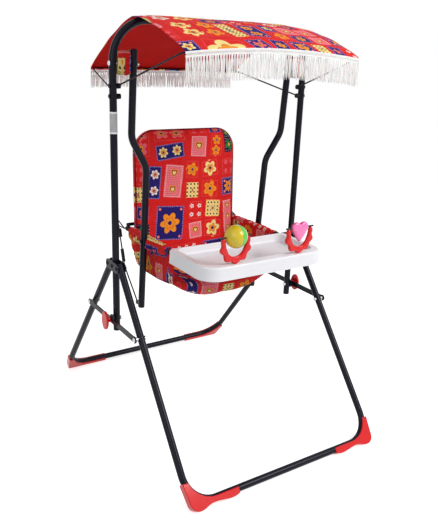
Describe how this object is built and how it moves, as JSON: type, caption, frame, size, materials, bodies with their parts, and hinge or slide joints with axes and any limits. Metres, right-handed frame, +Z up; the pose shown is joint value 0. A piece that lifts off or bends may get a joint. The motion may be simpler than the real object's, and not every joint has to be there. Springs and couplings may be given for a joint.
{
  "type": "child garden swing",
  "caption": "Child's garden swing: folding tube stand, fringed canopy, padded seat on hangers, tray with spinning toys.",
  "frame": {"origin": "on the floor, below the middle of the arch's top tube", "axes": "+X to the right of someone facing +Y, across the swing; the seated child faces -Y; +Z up"},
  "size_m": [0.7872, 1.0188, 1.3242],
  "materials": {
    "frame_tube": "gloss black enamel",
    "bright_steel": "zinc plated",
    "black_plastic": "satin moulded",
    "red_plastic": "gloss moulded",
    "white_plastic": "gloss moulded",
    "yellow_plastic": "gloss moulded",
    "pink_plastic": "gloss moulded",
    "print_fabric": "woven, printed patchwork",
    "fringe_yarn": "twisted yarn",
    "label_film": "blank film"
  },
  "bodies": {
    "stand": {"post_right": "frame_tube", "post_left": "frame_tube", "ridge_joiner": "frame_tube", "post_caps": "black_plastic", "blank_label": "label_film", "hub_bolts": "frame_tube", "pivot_bolts": "bright_steel", "hub_plates": "frame_tube", "pivot_guards": "print_fabric", "bow_bolts": "frame_tube", "foot_clips": "black_plastic", "knob_bolts": "bright_steel", "canopy_front": "print_fabric", "canopy_back": "print_fabric"},
    "front_legs": {"front_leg_frame": "frame_tube", "front_shoe_right": "red_plastic", "front_shoe_left": "red_plastic", "front_leg_caps": "black_plastic", "front_shoe_screws": "bright_steel", "front_brace_studs": "bright_steel"},
    "back_legs": {"back_leg_frame": "frame_tube", "back_shoe_right": "red_plastic", "back_shoe_left": "red_plastic", "back_leg_caps": "black_plastic", "back_shoe_screws": "bright_steel", "back_brace_studs": "bright_steel"},
    "right_brace": {"brace_right": "frame_tube"},
    "left_brace": {"brace_left": "frame_tube"},
    "right_knob": {"knob_right": "red_plastic"},
    "left_knob": {"knob_left": "red_plastic"},
    "swing": {"hanger_right": "frame_tube", "hanger_left": "frame_tube", "hanger_caps": "black_plastic", "arm_right": "frame_tube", "arm_left": "frame_tube", "arm_bolts": "frame_tube", "arm_caps": "black_plastic", "arm_collars": "black_plastic", "cross_rod": "frame_tube", "cross_rod_caps": "black_plastic", "rear_stays": "frame_tube", "stay_sleeves": "black_plastic", "stay_brackets": "frame_tube", "side_cover_right": "print_fabric", "side_cover_left": "print_fabric", "seat_back": "print_fabric", "seat_pan": "print_fabric"},
    "tray": {"tray": "white_plastic", "ball_ring": "red_plastic", "heart_ring": "red_plastic", "toy_axles": "black_plastic"},
    "ball": {"spin_ball": "yellow_plastic"},
    "heart": {"spin_heart": "pink_plastic"},
    "canopy_front_bow": {"front_bow": "frame_tube", "front_fringe": "fringe_yarn"},
    "canopy_back_bow": {"back_bow": "frame_tube", "back_fringe": "fringe_yarn"}
  },
  "joints": [
    {"name": "front_legs_fold", "type": "hinge", "parent": "stand", "child": "front_legs", "pos_m": [0, -0.034, 0.586], "axis": [1, 0, 0], "range_deg": [0, 35]},
    {"name": "back_legs_fold", "type": "hinge", "parent": "stand", "child": "back_legs", "pos_m": [0, 0.034, 0.586], "axis": [-1, 0, 0], "range_deg": [0, 35]},
    {"name": "right_brace_lift", "type": "hinge", "parent": "back_legs", "child": "right_brace", "pos_m": [0, 0.17626, 0.407], "axis": [-1, 0, 0], "range_deg": [0, 66]},
    {"name": "left_brace_lift", "type": "hinge", "parent": "back_legs", "child": "left_brace", "pos_m": [0, 0.17626, 0.407], "axis": [-1, 0, 0], "range_deg": [0, 66]},
    {"name": "right_knob_turn", "type": "hinge", "parent": "stand", "child": "right_knob", "pos_m": [0, 0, 0.407], "axis": [1, 0, 0], "continuous": true},
    {"name": "left_knob_turn", "type": "hinge", "parent": "stand", "child": "left_knob", "pos_m": [0, 0, 0.407], "axis": [1, 0, 0], "continuous": true},
    {"name": "swing_pivot", "type": "hinge", "parent": "stand", "child": "swing", "pos_m": [0, 0, 1.19], "axis": [1, 0, 0], "range_deg": [-25, 25]},
    {"name": "tray_slide", "type": "slide", "parent": "swing", "child": "tray", "axis": [0, -1, 0], "range_m": [0, 0.06]},
    {"name": "ball_spin", "type": "hinge", "parent": "tray", "child": "ball", "pos_m": [-0.118, -0.317, 0.7333], "axis": [1, 0, 0], "continuous": true},
    {"name": "heart_spin", "type": "hinge", "parent": "tray", "child": "heart", "pos_m": [0.118, -0.317, 0.7333], "axis": [1, 0, 0], "continuous": true},
    {"name": "front_bow_lift", "type": "hinge", "parent": "stand", "child": "canopy_front_bow", "pos_m": [0, 0, 1.128], "axis": [-1, 0, 0], "range_deg": [0, 30], "deforming": ["canopy_front"]},
    {"name": "back_bow_lift", "type": "hinge", "parent": "stand", "child": "canopy_back_bow", "pos_m": [0, 0, 1.099], "axis": [1, 0, 0], "range_deg": [0, 30], "deforming": ["canopy_back"]}
  ],
  "couplings": [
    {"joint": "back_legs_fold", "follows": "front_legs_fold", "ratio": 1},
    {"joint": "right_brace_lift", "follows": "front_legs_fold", "ratio": 1.86},
    {"joint": "left_brace_lift", "follows": "front_legs_fold", "ratio": 1.86}
  ]
}
